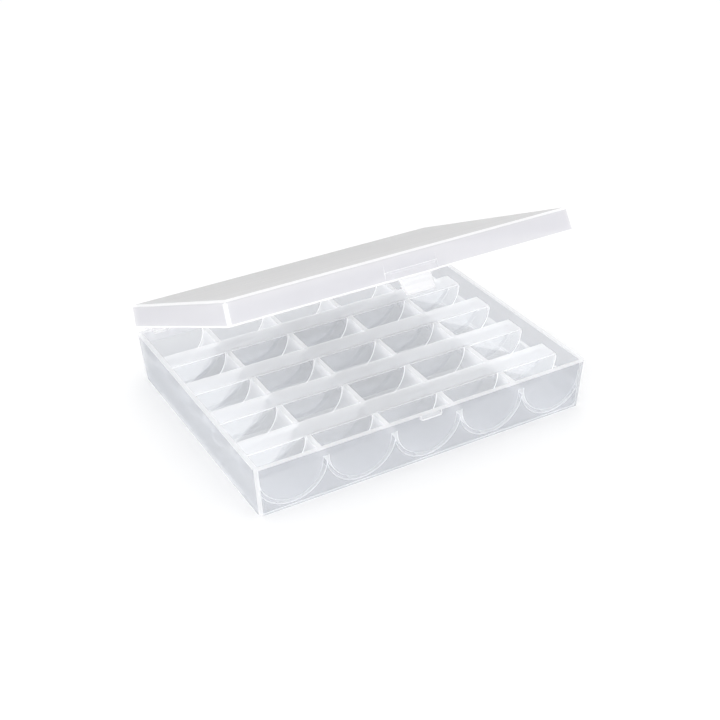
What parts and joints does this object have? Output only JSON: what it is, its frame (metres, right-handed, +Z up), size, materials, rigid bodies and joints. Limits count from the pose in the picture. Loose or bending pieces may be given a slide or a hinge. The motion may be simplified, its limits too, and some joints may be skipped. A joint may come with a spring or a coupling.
{
  "type": "bobbin storage box",
  "caption": "Shallow translucent box with a hinged snap lid and rows of round-bottomed pockets that hold sewing machine bobbins on edge.",
  "frame": {"origin": "on the table, in the middle of the outline that the box has at rest, with its lid part open and its hinge ears behind it", "axes": "+X along the hinge, +Y from the latch to the hinge, +Z up"},
  "size_m": [0.125, 0.1068, 0.0697],
  "materials": {
    "tray_plastic": "natural translucent polypropylene, satin",
    "lid_plastic": "natural translucent polypropylene, satin with glossy edges"
  },
  "bodies": {
    "base": {"base": "tray_plastic"},
    "lid": {"lid": "lid_plastic"},
    "latch_tab": {"latch_tab": "lid_plastic"}
  },
  "joints": [
    {"name": "lid_hinge", "type": "hinge", "parent": "base", "child": "lid", "pos_m": [0, 0.05095, 0.0176], "axis": [-1, 0, 0], "range_deg": [-25.5, 154.5]},
    {"name": "latch_flex", "type": "hinge", "parent": "lid", "child": "latch_tab", "pos_m": [0, -0.04301, 0.06294], "axis": [-1, 0, 0], "range_deg": [0, 16], "stiffness_Nm_per_rad": 0.05}
  ]
}
